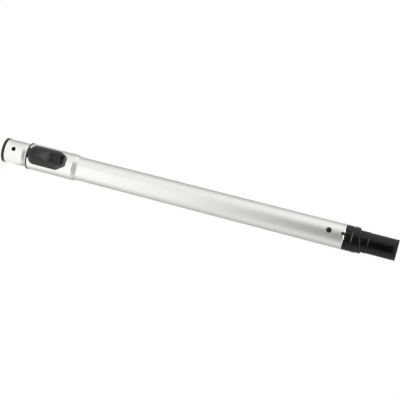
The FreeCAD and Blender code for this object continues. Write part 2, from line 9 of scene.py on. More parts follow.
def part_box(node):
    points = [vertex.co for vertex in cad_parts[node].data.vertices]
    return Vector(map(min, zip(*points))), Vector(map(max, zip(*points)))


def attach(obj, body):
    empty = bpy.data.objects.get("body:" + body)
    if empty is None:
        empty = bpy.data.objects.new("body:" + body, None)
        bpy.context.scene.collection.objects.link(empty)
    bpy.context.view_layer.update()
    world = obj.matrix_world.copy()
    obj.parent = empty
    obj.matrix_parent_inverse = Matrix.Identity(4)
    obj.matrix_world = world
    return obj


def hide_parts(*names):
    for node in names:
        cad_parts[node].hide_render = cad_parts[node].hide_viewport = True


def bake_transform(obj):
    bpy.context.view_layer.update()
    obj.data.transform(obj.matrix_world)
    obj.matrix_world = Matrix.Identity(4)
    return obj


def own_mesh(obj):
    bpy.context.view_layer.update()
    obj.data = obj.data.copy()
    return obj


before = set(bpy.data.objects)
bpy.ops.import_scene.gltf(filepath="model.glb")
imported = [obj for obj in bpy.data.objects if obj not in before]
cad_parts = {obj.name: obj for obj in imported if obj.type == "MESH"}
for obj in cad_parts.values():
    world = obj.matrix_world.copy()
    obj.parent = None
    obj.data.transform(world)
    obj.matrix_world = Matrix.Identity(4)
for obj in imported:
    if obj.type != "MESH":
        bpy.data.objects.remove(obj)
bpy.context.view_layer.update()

# The wand stands on its socket's mouth: +Z runs up to the tool spigot, and -Y out through the lock.
# Shapes are in millimetres, and angles round the wand are counted from the lock towards +X.
MM = 0.001


def reach(node):
    """A node's lowest and highest corners in millimetres."""
    low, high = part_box(node)
    return low / MM, high / MM


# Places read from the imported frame
tube_low, tube_high = reach("outer_tube")
inner_high = reach("inner_tube")[1]
ring_low, ring_high = reach("end_ring")
sleeve_low = reach("guide_sleeve")[0]
cover_low, cover_high = reach("lock_cover")
pad_low, pad_high = reach("thumb_pad")
carriage_low, carriage_high = reach("lock_carriage")
roller_low, roller_high = reach("lock_roller")
adapter_low, adapter_high = reach("tool_adapter")
button_low, button_high = reach("snap_button")

# Tube sizes that a box can't tell
WALL = 0.8
TUBE_RADIUS = 19.0
HEAD_RADIUS = tube_high.x
HEAD_END = 121.1
SHOULDER = 11.0
SHOULDER_EASE = 1.0
INNER_RADIUS = 17.5
SOCKET_RADIUS = inner_high.x
SOCKET_END = 36.0
NECK = 42.5
NECK_EASE = 1.1
EDGE = 0.25
CLEAR = 0.05
HOLE_Z = 19.5
HOLE_RADIUS = 3.6

# The snap button and the adapter's end key
BUTTON_Z = (button_low.z + button_high.z) / 2
BUTTON_RADIUS = button_high.x
BUTTON_DOME = 0.9
BUTTON_BRIM = 0.2
BUTTON_TIP = 0.15
KEY_HALF = 2.15
KEY_ROOT = 1.0
KEY_LAP = 0.5
KEY_BEVEL = 0.3

# Lock notches and the guide flute of the inner tube
NOTCH_PITCH = 30.0
NOTCH_COUNT = 13
NOTCH_FIRST = (roller_low.z + roller_high.z) / 2
NOTCH_FLOOR = 16.3
NOTCH_HALF = 1.3
NOTCH_FLARE = 1.2
FLUTE_START = 51.75
FLUTE_FLOOR = 16.75
FLUTE_HALF = 1.6

# The tool adapter's collar, second band and spigot
COLLAR_START = tube_high.z
COLLAR_LENGTH = 11.4
COLLAR_LINE = COLLAR_START + COLLAR_LENGTH
COLLAR_RADIUS = adapter_high.x
PLUG_RADIUS = 18.15
PLUG_BORE = 15.25
BAND_RADIUS = 18.2
BAND_SHORT = 9.2
BAND_LONG = 15.6
BAND_SWING = 2.5
ROOT_RADIUS = 15.9
ROOT_LENGTH = 22.9
ROOT_END = COLLAR_LINE + ROOT_LENGTH
SPIGOT_RADIUS = 15.5
SPIGOT_BORE = 13.75
LIP_LINE = 3.4
LIP_DEPTH = 0.18

# The collar's grip panels and the band's finger pads, with the turns over which their sides fade
GRIP_TURN = math.radians(15.5)
GRIP_HALF = math.radians(35.5)
GRIP_FADE = (-0.03, -0.01, 0.01)
GRIP_DEPTH = 0.6
GRIP_MARGIN = 1.6
FINGER_FACE = 18.75
FINGER_HALF = 4.0
FINGER_SIDE = 0.5
FINGER_FADE = (-0.028, 0.0, 0.028)
FINGER_START = 0.7
FINGER_MARGIN = 1.5

# Their eased ends: the share of the rise at the corner, and the lengths before it, at it and after it
GRIP_EASE = (0.5, 0.15, 0.05, 0.3)
FINGER_EASE = (0.6, 0.2, 0.1, 0.6)

# Small roundings of the adapter's outline, as (radius, z) steps from an edge
COLLAR_RIM = ((-EDGE, 0.0), (-0.07, 0.07), (0.0, EDGE))
COLLAR_BROW = ((0.0, -0.75), (-0.12, -0.55))
BAND_GROOVE = ((-0.1, -0.1), (-0.1, 0.15), (-0.02, 0.3), (0.0, 0.4))
BAND_RIM = ((0.0, -0.7), (-0.1, -0.3), (-0.35, -0.05))
ROOT_FILLET = ((0.5, 0.0), (0.1, 0.15), (0.0, 0.6))
ROOT_RIM = ((0.0, -0.3), (-0.08, -0.06))
SPIGOT_FOOT = ((0.0, 0.15),)
LIP_GROOVE = ((0.0, -0.5), (-LIP_DEPTH, -0.2), (-LIP_DEPTH, 0.2), (0.0, 0.5))
SPIGOT_RIM = ((0.0, -0.7), (-0.2, -0.2), (-0.7, 0.0))
BORE_RIM = ((0.4, 0.0), (0.0, -0.4))
BORE_STEP = ((0.0, 0.3), (0.3, 0.0))

# The lock cover
COVER_HALF = cover_high.x
COVER_SKIRT = 16.48
COVER_SUNK = 4.0
COVER_BROW_HALF = 9.5
COVER_BROW = 25.1
COVER_CROWN_HALF = 8.0
COVER_CROWN = -cover_low.y
COVER_CROWN_FALL = 0.1
COVER_CROWN_FLAT = 0.75
COVER_NOSE = 58.25
COVER_TAIL_HALF = 8.4
COVER_CHAMFER = 12.9
COVER_END_WALL = 1.8
COVER_ROUND = 1.6
COVER_BEVEL = 0.35
RAIL_HALF = 8.25
RAIL_TOP = 21.6
RAIL_START = 11.5
WELL_TOP = 24.3
PAD_ROOM = 0.25

# The thumb pad: its ridge, the dish behind it, and how softly the rims fall into the dish
RIDGE = 2.6
RIDGE_SLOPE = 3.0
RIDGE_EASE = 1.4
# How far along the thumb pad its painted ridge highlight reaches before it has faded, in lengths of the
# ridge
RIDGE_HIGHLIGHT_END = 1.4
DISH_FLOOR = 0.9
DISH_RISE = 1.0
DISH_END = 1.2
DISH_END_EASE = 1.5
DISH_END_RIM = 0.5
DISH_RIM = 1.3
DISH_RIM_INNER = 1.2
DISH_RIM_OUTER = 0.5
PAD_ROUND = 0.5
PAD_ROUND_WIDTH = 0.7

# Springs
SPRING_WIRE = 0.5
SPRING_TURNS = 9
LEAF_THICK = 0.4

# How finely the meshes are divided, and the longest steps along the tubes and the adapter
TUBE_COLUMNS = 128
INNER_COLUMNS = 112
ADAPTER_COLUMNS = 120
TUBE_STEP = 8.0
ADAPTER_STEP = 1.5
NOTCH_ROWS = (1.06, 0.97, 0.8, 0.62, 0.5, 0.42)
COVER_SIDE_STEPS = 12
COVER_NOSE_STEPS = 48
COVER_ROUND_STEPS = 5
PAD_STEPS_ALONG = 56
PAD_STEPS_ACROSS = 36
BUTTON_COLUMNS = 48
BUTTON_STEPS = 9
SPRING_STEPS = 24
SPRING_SIDES = 8
LEAF_STEPS = 16
BEVEL_STEPS = 3
SADDLE_SIDES = 192

# How far a cutter reaches past what it cuts, and the most of a run that a rounded corner takes
OVER = 1.0
CORNER_SHARE = 0.45

# Metal finish: grain lines and clouds per metre, the tones they mix, and what they do to the sheen
METAL_GRAIN = 2600.0
METAL_CLOUD = (40.0, 9.0)
METAL_GRAIN_SHARE = 0.45
METAL_CLOUD_SHARE = 0.55
METAL_DARK = 0.93
METAL_PALE = 1.06
METAL_WARMTH = 0.025
METAL_RUB = (0.53, 0.62)
METAL_RUB_SHARE = 0.5
METAL_RUBBED = 0.93
METAL_BUMP = 0.12
METAL_SHEEN = -0.06
METAL_GRAIN_SHEEN = 0.07
METAL_CLOUD_SHEEN = 0.05

# Plastic finish: tones of its mottle and of the painted shade in recesses, how unevenly edges wear and take
# painted highlights, and what varies the sheen
PLASTIC_DARK = 0.65
PLASTIC_PALE = 1.35
PLASTIC_BUMP = 0.35
PLASTIC_SHEEN = -0.08
PLASTIC_CLOUD_SHEEN = 0.1
PLASTIC_GRAIN_SHEEN = 0.06
RECESS_REACH = 4.0
RECESS_SAMPLES = 8
PAINTED_SHADE_TONE = 0.25
RECESS_DULL = 0.35
WEAR_LEAST = 0.35
WEAR_CLOUD = 0.9


# Shader maths

class NodeTree:
    """The emptied node tree of a material or world, with one way to add a node."""

    def __init__(self, holder):
        holder.use_nodes = True
        self.tree = holder.node_tree
        self.tree.nodes.clear()

    def add(self, kind, settings, sockets, output=0):
        """Add a node, its settings first and then the values or links of its sockets. Gives one output."""
        made = self.tree.nodes.new(kind)
        for name, setting in settings.items():
            if name == "stops":
                place_stops(made.color_ramp.elements, setting)
            else:
                setattr(made, name, setting)
        for key, value in sockets.items():
            if isinstance(value, Wire):
                self.tree.links.new(value.socket, made.inputs[key])
            else:
                made.inputs[key].default_value = value
        return Wire(self, made.outputs[output]) if made.outputs else None


class Wire:
    """One output socket, so that shader maths reads as plain expressions."""

    def __init__(self, tree, socket):
        self.tree = tree
        self.socket = socket

    def maths(self, operation, first, second):
        return self.tree.add("ShaderNodeMath", {"operation": operation}, {0: first, 1: second})

    def __add__(self, other):
        return self.maths("ADD", self, other)

    def __sub__(self, other):
        return self.maths("SUBTRACT", self, other)

    def __rsub__(self, other):
        return self.maths("SUBTRACT", other, self)

    def __mul__(self, other):
        return self.maths("MULTIPLY", self, other)

    __radd__ = __add__
    __rmul__ = __mul__


def grey(level, warmth=0.0):
    """A grey colour, with its blue lowered by the warmth."""
    return (level, level, level * (1 - warmth), 1.0)


def place_stops(elements, stops):
    """Give a colour ramp grey stops at (place, level)."""
    for i, (spot, level) in enumerate(stops):
        stop = elements[i] if i < len(elements) else elements.new(spot)
        stop.position = spot
        stop.color = grey(level)


def noise(tree, place, scale, detail=3.0):
    return tree.add("ShaderNodeTexNoise", {}, {"Vector": place, "Scale": scale, "Detail": detail}, "Fac")


def stretched(tree, across, along):
    """The piece's own place, scaled unevenly round and along the wand."""
    place = tree.add("ShaderNodeTexCoord", {}, {}, "Object")
    scale = (across, across, along)
    return tree.add("ShaderNodeVectorMath", {"operation": "MULTIPLY"}, {0: place, 1: scale})


def clamped(tree, value, low, high):
    """Value spread from low..high to 0..1 and held there."""
    sockets = {"Value": value, "From Min": low, "From Max": high}
    return tree.add("ShaderNodeMapRange", {"clamp": True}, sockets)


def tinted(tree, mask, first, second):
    """The first colour where the mask is 0, and the second where it is 1."""
    return tree.add("ShaderNodeMix", {"data_type": "RGBA"}, {0: mask, 6: first, 7: second}, 2)


def pointed_edges(tree, low, high):
    """A mask of pointed edges: where hands and floors rub, and where painted highlights go."""
    pointed = tree.add("ShaderNodeNewGeometry", {}, {}, "Pointiness")
    return clamped(tree, pointed, low, high)


def bumped(tree, height, strength, depth):
    """The normal over a grain of a depth in millimetres."""
    sockets = {"Strength": strength, "Distance": depth * MM, "Height": height}
    return tree.add("ShaderNodeBump", {}, sockets, "Normal")


def close_material(tree, sockets):
    """Join a principled shader with these sockets to the material's output."""
    shader = tree.add("ShaderNodeBsdfPrincipled", {}, sockets, "BSDF")
    tree.add("ShaderNodeOutputMaterial", {}, {"Surface": shader})


def satin_metal(name, level, roughness, grain_along, grain_depth, sweep=0.0):
    """Drawn metal: lengthwise grain that sweeps light round the wand, cloudy sheen and rubbed edges."""
    material = bpy.data.materials.new(name)
    tree = NodeTree(material)
    grain = noise(tree, stretched(tree, METAL_GRAIN, grain_along), 1.0, detail=5.0)
    cloud = noise(tree, stretched(tree, *METAL_CLOUD), 1.0)
    rub = pointed_edges(tree, *METAL_RUB)
    dark = grey(level * METAL_DARK, METAL_WARMTH)
    pale = grey(min(1.0, level * METAL_PALE), METAL_WARMTH)
    colour = tinted(tree, grain * METAL_GRAIN_SHARE + cloud * METAL_CLOUD_SHARE, dark, pale)
    colour = tinted(tree, rub * METAL_RUB_SHARE, colour, grey(METAL_RUBBED))
    sheen = roughness + METAL_SHEEN + grain * METAL_GRAIN_SHEEN + cloud * METAL_CLOUD_SHEEN
    close_material(tree, {
        "Base Color": colour, "Metallic": 1.0, "Roughness": sheen, "Anisotropic": sweep,
        "Normal": bumped(tree, grain, METAL_BUMP, grain_depth)})
    return material


def moulded(name, level, roughness, grain_size, grain_depth, shine=0.5, wear_and_highlight=0.05, mottle=14.0,
            rub=(0.52, 0.62), highlight_fade=None, shade_range=(0.35, 0.95), edge_dull=0.0):
    """Moulded plastic or rubber: fine grain, a mottled tone, painted shade and dull sheen in recesses, and
    edges paled by wear and painted highlights.

    Edges are paled, as wear and as painted highlights, only up to the heights of highlight_fade, where it
    is given, and edge_dull roughens them."""
    material = bpy.data.materials.new(name)
    tree = NodeTree(material)
    grain = noise(tree, stretched(tree, 1.0, 1.0), 1.0 / (grain_size * MM), detail=4.0)
    cloud = noise(tree, stretched(tree, 1.0, 1.0), 1.0 / (mottle * MM))
    unshaded = tree.add("ShaderNodeAmbientOcclusion", {"samples": RECESS_SAMPLES},
                        {"Distance": RECESS_REACH * MM}, "AO")
    unshaded = clamped(tree, unshaded, *shade_range)
    wear_and_highlight_mask = pointed_edges(tree, *rub) * (WEAR_LEAST + cloud * WEAR_CLOUD)
    if highlight_fade:
        height = tree.add("ShaderNodeSeparateXYZ", {}, {"Vector": stretched(tree, 1.0, 1.0)}, "Z")
        wear_and_highlight_mask = wear_and_highlight_mask * (1 - clamped(tree, height, highlight_fade[0] * MM, highlight_fade[1] * MM))
    colour = tinted(tree, cloud, grey(level * PLASTIC_DARK), grey(level * PLASTIC_PALE))
    # Painted shade: the base colour darkens in recesses where the occlusion mask is low, standing in for
    # the shade that falls there.
    colour = tinted(tree, unshaded, grey(level * PAINTED_SHADE_TONE), colour)
    # Paler edges: partly wear, and where the pale colour is raised, as on the thumb pad's ridge, a painted
    # highlight.
    colour = tinted(tree, wear_and_highlight_mask, colour, grey(level + wear_and_highlight))
    sheen = roughness + PLASTIC_SHEEN + cloud * PLASTIC_CLOUD_SHEEN + grain * PLASTIC_GRAIN_SHEEN
    sheen = sheen + (1 - unshaded) * RECESS_DULL
    if edge_dull:
        sheen = sheen + wear_and_highlight_mask * edge_dull
    close_material(tree, {
        "Base Color": colour, "Roughness": sheen, "Specular IOR Level": shine,
        "Normal": bumped(tree, grain, PLASTIC_BUMP, grain_depth)})
    return material


outer_metal = satin_metal("satin_outer_tube", level=0.96, roughness=0.27, grain_along=5.0, grain_depth=0.05,
                          sweep=0.88)
# Painted shade: the inner tube's copy of the same satin aluminium is set darker, for the greyer shading at
# the socket end.
shaded_inner_metal = satin_metal("satin_inner_tube_painted_shade", level=0.91, roughness=0.27, grain_along=5.0, grain_depth=0.05,
                          sweep=0.88)
bright_steel = satin_metal("drawn_steel", level=0.62, roughness=0.25, grain_along=60.0, grain_depth=0.03)
trim_plastic = moulded("smooth_trim", level=0.008, roughness=0.34, grain_size=0.5, grain_depth=0.012,
                       shine=0.4)
cover_plastic = moulded("grained_cover", level=0.010, roughness=0.42, grain_size=0.35, grain_depth=0.030,
                        mottle=3.0)
# Thumb pad: a tight shade range paints a dark shade strip on the dish wall behind the ridge, and the raised
# pale edge colour near the ridge is a painted highlight along its crest.
pad_plastic = moulded("grained_thumb_pad", level=0.010, roughness=0.40, grain_size=0.35, grain_depth=0.030,
                      shine=0.4, wear_and_highlight=0.25, mottle=3.0, rub=(0.505, 0.55), shade_range=(0.8, 0.98),
                      highlight_fade=(pad_low.z + RIDGE, pad_low.z + RIDGE_HIGHLIGHT_END * RIDGE))
button_plastic = moulded("smooth_button", level=0.004, roughness=0.22, grain_size=0.5, grain_depth=0.010,
                         shine=0.4, wear_and_highlight=0.02)
adapter_plastic = moulded("smooth_adapter", level=0.002, roughness=0.11, grain_size=0.6, grain_depth=0.010,
                          shine=0.34, wear_and_highlight=0.015, rub=(0.505, 0.55), edge_dull=0.6)
grey_plastic = moulded("natural_grey", level=0.35, roughness=0.45, grain_size=0.5, grain_depth=0.015)
seal_rubber = moulded("seal_rubber", level=0.018, roughness=0.75, grain_size=0.3, grain_depth=0.030)


# Mesh making

def on_wand(angle, radius, z):
    """A point round the wand, with the angle counted from the lock."""
    return (radius * math.sin(angle) * MM, -radius * math.cos(angle) * MM, z * MM)


def new_piece(name, mesh, material):
    piece = bpy.data.objects.new(name, mesh)
    bpy.context.scene.collection.objects.link(piece)
    mesh.materials.append(material)
    return piece


def outward(mesh):
    """Make every face look outwards."""
    work = bmesh.new()
    work.from_mesh(mesh)
    bmesh.ops.recalc_face_normals(work, faces=work.faces)
    work.to_mesh(mesh)
    work.free()


def grid_mesh(name, rows, close_rows):
    """Quads through closed rows of points. The rows join end to end if asked, or else get caps."""
    count = len(rows[0])
    mesh = bpy.data.meshes.new(name)
    points = [point for row in rows for point in row]
    faces = []
    last = len(rows) if close_rows else len(rows) - 1
    for i in range(last):
        a, b = i * count, (i + 1) % len(rows) * count
        faces += [(a + j, a + (j + 1) % count, b + (j + 1) % count, b + j) for j in range(count)]
    if not close_rows:
        faces.append(tuple(reversed(range(count))))
        faces.append(tuple(range(len(points) - count, len(points))))
    mesh.from_pydata(points, [], faces)
    outward(mesh)
    return mesh


def grid_piece(name, rows, close_rows, material):
    return new_piece(name, grid_mesh(name, rows, close_rows), material)


def softened(points, radius, steps=3):
    """A closed outline with each corner replaced by a small curve."""
    made = []
    points = [np.array(p, float) for p in points]
    for before, corner, after in zip(points[-1:] + points[:-1], points, points[1:] + points[:1]):
        ends = []
        for other in (before, after):
            away = other - corner
            length = np.linalg.norm(away)
            ends.append(corner + away / length * min(radius, CORNER_SHARE * length))
        for i in range(steps + 1):
            t = i / steps
            made.append((1 - t) ** 2 * ends[0] + 2 * t * (1 - t) * corner + t ** 2 * ends[1])
    return made


def eased(t):
    """A share of 0 to 1 that starts and ends gently."""
    return t * t * (3 - 2 * t)


def s_curve(first, second, start, end, steps=14):
    """Points (radius, z) that swing smoothly from one radius to another."""
    spots = [i / steps for i in range(steps + 1)]
    return [(first + (second - first) * eased(t), start + (end - start) * t) for t in spots]


def spread(count, extra=()):
    """Angles round the wand, evenly spread with some more where edges run."""
    even = [2 * math.pi * i / count for i in range(count)]
    return sorted(set(even) | {angle % (2 * math.pi) for angle in extra})


def around(angle, centre):
    """The angle from a centre, between minus and plus half a turn."""
    return (angle - centre + math.pi) % (2 * math.pi) - math.pi


def ramp(value, start, end):
    """0 before start, 1 after end, and straight between."""
    return min(1.0, max(0.0, (value - start) / (end - start)))


def split_runs(outlines, longest):
    """Closed outlines with points added alike: no step is longer than asked, so edges paled by wear and
    painted highlights stay narrow.
    """
    made = [[] for _ in outlines]
    count = len(outlines[0])
    for i in range(count):
        pairs = [(np.array(line[i]), np.array(line[(i + 1) % count])) for line in outlines]
        steps = math.ceil(max(np.linalg.norm(b - a) for a, b in pairs) / longest)
        for line, (a, b) in zip(made, pairs):
            line += [tuple(a + (b - a) * k / steps) for k in range(steps)]
    return made


def lathe(name, outline, material):
    """A closed outline of (radius, z) points turned about the wand."""
    outline = split_runs([outline], TUBE_STEP)[0]
    rows = [[on_wand(angle, r, z) for angle in spread(TUBE_COLUMNS)] for r, z in outline]
    return grid_piece(name, rows, True, material)


def cutter(mesh):
    piece = bpy.data.objects.new(mesh.name, mesh)
    bpy.context.scene.collection.objects.link(piece)
    return piece


def round_cutter(name, radius, axis, centre, length, sides=64):
    """A round bar for cutting, centred at a point and along an axis."""
    work = bmesh.new()
    bmesh.ops.create_cone(work, cap_ends=True, segments=sides, radius1=radius * MM, radius2=radius * MM,
                          depth=length * MM)
    turn = Vector((0, 0, 1)).rotation_difference(Vector(axis)).to_matrix().to_4x4()
    bmesh.ops.transform(work, matrix=Matrix.Translation(Vector(centre) * MM) @ turn, verts=work.verts)
    mesh = bpy.data.meshes.new(name)
    work.to_mesh(mesh)
    work.free()
    return cutter(mesh)


def side_hole(name, radius, wall_radius, z):
    """A cutter for a round hole through a tube's wall on the lock's side."""
    return round_cutter(name, radius, (0, -1, 0), (0, -wall_radius, z), wall_radius)


def box_mesh(name, low, high, bevel=0.0):
    work = bmesh.new()
    bmesh.ops.create_cube(work, size=1.0)
    low, high = Vector(low) * MM, Vector(high) * MM
    for vert in work.verts:
        vert.co = [a + (b - a) * (c + 0.5) for a, b, c in zip(low, high, vert.co)]
    if bevel:
        bmesh.ops.bevel(work, geom=work.edges[:], offset=bevel * MM, segments=BEVEL_STEPS, profile=0.5,
                        affect="EDGES")
    mesh = bpy.data.meshes.new(name)
    work.to_mesh(mesh)
    work.free()
    return mesh


def prism_mesh(name, outline, low, high):
    """A straight prism over an (x, z) outline, from y low to y high."""
    rows = [[(x * MM, y * MM, z * MM) for x, z in outline] for y in (low, high)]
    return grid_mesh(name, rows, False)


def apply_modifiers(piece):
    """Make the piece's mesh what its modifiers show."""
    graph = bpy.context.evaluated_depsgraph_get()
    piece.data = bpy.data.meshes.new_from_object(piece.evaluated_get(graph))
    piece.modifiers.clear()


def finished(piece, cutters=(), bevel=0.0, sharp=35.0):
    """Apply the cuts and an edge bevel, then shade smoothly between sharp edges."""
    for tool in cutters:
        cut = piece.modifiers.new(tool.name, "BOOLEAN")
        cut.operation = "DIFFERENCE"
        cut.solver = "EXACT"
        cut.object = tool
    if bevel:
        edge = piece.modifiers.new("edges", "BEVEL")
        edge.width = bevel * MM
        edge.segments = BEVEL_STEPS
        edge.limit_method = "ANGLE"
        edge.angle_limit = math.radians(sharp)
    apply_modifiers(piece)
    for tool in cutters:
        bpy.data.objects.remove(tool)
    piece.data.polygons.foreach_set("use_smooth", [True] * len(piece.data.polygons))
    piece.data.set_sharp_from_angle(angle=math.radians(sharp))
    if bevel:
        piece.modifiers.new("flats", "WEIGHTED_NORMAL").keep_sharp = True
        apply_modifiers(piece)
    return piece


def stands_for(piece, body, slot, *names):
    """The piece rides with a body and hides the plain solids it stands for. Its slot is not used."""
    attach(piece, body)
    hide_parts(*names)


def tube_outline(outer):
    """A thin wall inside a run of outer points, closed, with its two ends eased."""
    inner = [(r - WALL, z) for r, z in reversed(outer)]
    (r0, z0), (r1, z1) = outer[0], outer[-1]
    start = [(r0 - WALL + EDGE, z0), (r0 - EDGE, z0), (r0, z0 + EDGE)]
    end = [(r1, z1 - EDGE), (r1 - EDGE, z1), (r1 - WALL + EDGE, z1)]
    return start + outer[1:-1] + end + inner[1:-1]


# Tubes

def make_outer_tube():
    shoulder_start, shoulder_end = HEAD_END + SHOULDER_EASE, HEAD_END + SHOULDER - SHOULDER_EASE
    shoulder = s_curve(HEAD_RADIUS, TUBE_RADIUS, shoulder_start, shoulder_end)
    outline = tube_outline([(HEAD_RADIUS, tube_low.z)] + shoulder + [(TUBE_RADIUS, tube_high.z)])
    piece = lathe("outer_tube_skin", outline, outer_metal)
    window = box_mesh("window_cut", (-RAIL_HALF, -HEAD_RADIUS - OVER, tube_low.z - OVER),
                      (RAIL_HALF, 0, cover_high.z - COVER_END_WALL))
    notch_start = tube_high.z - 2 * KEY_HALF - 2 * CLEAR
    notch = box_mesh("notch_cut", (-KEY_HALF - CLEAR, -TUBE_RADIUS - OVER, notch_start),
                     (KEY_HALF + CLEAR, 0, tube_high.z + OVER))
    hole = side_hole("button_cut", BUTTON_RADIUS + 2 * CLEAR, TUBE_RADIUS, BUTTON_Z)
    finished(piece, [cutter(window), cutter(notch), hole])
    stands_for(piece, "outer", "satin_aluminium", "outer_tube")


def pressed_radius(angle, z, radius):
    """The inner tube's radius where notches are pressed in below the lock and a flute runs opposite."""
    turn = abs(around(angle, 0.0))
    back = abs(around(angle, math.pi))
    if turn < math.pi / 4 and z > NOTCH_FIRST - NOTCH_PITCH / 4:
        step = round((z - NOTCH_FIRST) / NOTCH_PITCH)
        away = abs(z - NOTCH_FIRST - NOTCH_PITCH * min(step, NOTCH_COUNT - 1))
        floor = NOTCH_FLOOR + max(0.0, away - NOTCH_HALF) / NOTCH_FLARE
        radius = min(radius, floor / math.cos(turn))
    across = radius * math.sin(back)
    if back < math.pi / 4 and z > FLUTE_START - FLUTE_HALF:
        depth = (radius - FLUTE_FLOOR) * (1 - ramp(across, FLUTE_HALF - EDGE, FLUTE_HALF + EDGE))
        radius -= depth * ramp(z, FLUTE_START - EDGE, FLUTE_START + EDGE)
    return radius


def make_inner_tube():
    bell = s_curve(SOCKET_RADIUS, INNER_RADIUS, SOCKET_END - NECK_EASE, NECK - NECK_EASE)
    heights = [FLUTE_START + EDGE * i for i in range(-2, 3)]
    side = NOTCH_HALF + NOTCH_FLARE * (INNER_RADIUS - NOTCH_FLOOR)
    offsets = [side * share for share in NOTCH_ROWS]
    for i in range(NOTCH_COUNT):
        centre = NOTCH_FIRST + NOTCH_PITCH * i
        heights += [centre - away for away in offsets] + [centre]
        heights += [centre + away for away in reversed(offsets)]
    run = [(INNER_RADIUS, z) for z in heights]
    outline = tube_outline([(SOCKET_RADIUS, 0.0)] + bell + run + [(INNER_RADIUS, inner_high.z)])
    flute = FLUTE_HALF / INNER_RADIUS
    turns = [flute + shift * EDGE / INNER_RADIUS for shift in (-1, 0, 1)]
    angles = spread(INNER_COLUMNS, [math.pi + sign * turn for sign in (1, -1) for turn in turns])
    rows = []
    for r, z in split_runs([outline], TUBE_STEP)[0]:
        nominal = SOCKET_RADIUS if z < SOCKET_END else INNER_RADIUS
        dent = [nominal - pressed_radius(angle, z, nominal) for angle in angles]
        rows.append([on_wand(angle, r - deep, z) for angle, deep in zip(angles, dent)])
    piece = grid_piece("inner_tube_skin", rows, True, shaded_inner_metal)
    finished(piece, [side_hole("socket_cut", HOLE_RADIUS, SOCKET_RADIUS, HOLE_Z)], sharp=42.0)
    stands_for(piece, "inner", "satin_aluminium", "inner_tube")


def make_end_ring():
    inside, outside = SOCKET_RADIUS + CLEAR, ring_high.x
    low, high = ring_low.z, ring_high.z
    outline = softened([(inside, low), (outside, low), (outside, high), (inside, high)], EDGE)
    piece = finished(lathe("end_ring_band", outline, trim_plastic))
    stands_for(piece, "inner", "black_trim", "end_ring")


# Lock

def cover_rows():
    """The cover's plan outlines from its sunk skirt up to its crown: a round nose and a square tail."""
    section = [(COVER_HALF, COVER_SKIRT - COVER_SUNK), (COVER_HALF, COVER_SKIRT),
               (COVER_BROW_HALF, COVER_BROW), (COVER_CROWN_HALF, COVER_CROWN - COVER_CROWN_FALL),
               (COVER_CROWN_HALF * COVER_CROWN_FLAT, COVER_CROWN)]
    corner = COVER_ROUND_STEPS + 1
    rounded = softened(section, COVER_ROUND, COVER_ROUND_STEPS)[corner:-corner]
    turns = np.linspace(0, math.pi, COVER_NOSE_STEPS)[1:-1]
    rows = []
    for half, height in [section[0], *rounded, section[-1]]:
        side = [(half, z) for z in np.linspace(cover_high.z, COVER_NOSE, COVER_SIDE_STEPS)]
        nose = [(half * math.cos(t), COVER_NOSE - half * math.sin(t)) for t in turns]
        plan = side + nose + [(-x, z) for x, z in reversed(side)]
        rows.append([(x * MM, -height * MM, z * MM) for x, z in plan])
    return rows


def make_cover():
    piece = grid_piece("lock_cover_hood", cover_rows(), False, cover_plastic)
    tail, past = cover_high.z, 2 * OVER
    cuts = []
    for sign in (1, -1):
        wedge = [(sign * COVER_HALF, tail - COVER_CHAMFER), (sign * COVER_TAIL_HALF, tail),
                 (sign * (COVER_TAIL_HALF - OVER), tail + past), (sign * COVER_HALF * 2, tail + past),
                 (sign * COVER_HALF * 2, tail - COVER_CHAMFER)]
        cuts.append(cutter(prism_mesh("tail_cut", wedge, -COVER_CROWN - past, 0)))
    cuts.append(round_cutter("saddle_cut", HEAD_RADIUS + CLEAR, (0, 0, 1), (0, 0, tail), 4 * tail,
                             sides=SADDLE_SIDES))
    rooms = [(RAIL_HALF, RAIL_TOP, sleeve_low.z + RAIL_START),
             (carriage_high.x + PAD_ROOM, WELL_TOP, carriage_low.z - PAD_ROOM),
             (pad_high.x + PAD_ROOM, COVER_CROWN + past, pad_low.z - PAD_ROOM)]
    for half, top, start in rooms:
        room = box_mesh("room_cut", (-half, -top, start), (half, 0, tail - COVER_END_WALL))
        cuts.append(cutter(room))
    finished(piece, cuts, bevel=COVER_BEVEL, sharp=32.0)
    stands_for(piece, "outer", "black_cover", "lock_cover")


def pad_height(along, across, length, half, full):
    """The thumb pad's height over its foot: a ridge, a dish that rises again, and rims."""
    floor = DISH_FLOOR + DISH_RISE * eased(ramp(along, RIDGE + RIDGE_SLOPE, length - DISH_END))
    inside = ramp(along, RIDGE, RIDGE + RIDGE_SLOPE * RIDGE_EASE)
    inside *= 1 - ramp(along, length - DISH_END * DISH_END_EASE, length - DISH_END_RIM)
    rim = half - DISH_RIM
    inside *= 1 - ramp(abs(across), rim - DISH_RIM_INNER, rim + DISH_RIM_OUTER)
    border = min(along, length - along, half - abs(across))
    rounding = PAD_ROUND * (1 - ramp(border, 0.0, PAD_ROUND_WIDTH)) ** 2
    return full + (floor - full) * (1 - (1 - inside) ** 2) - rounding


def cosines(count):
    """Values from 1 to -1 that lie closer together at both ends."""
    return [math.cos(math.pi * i / count) for i in range(count + 1)]


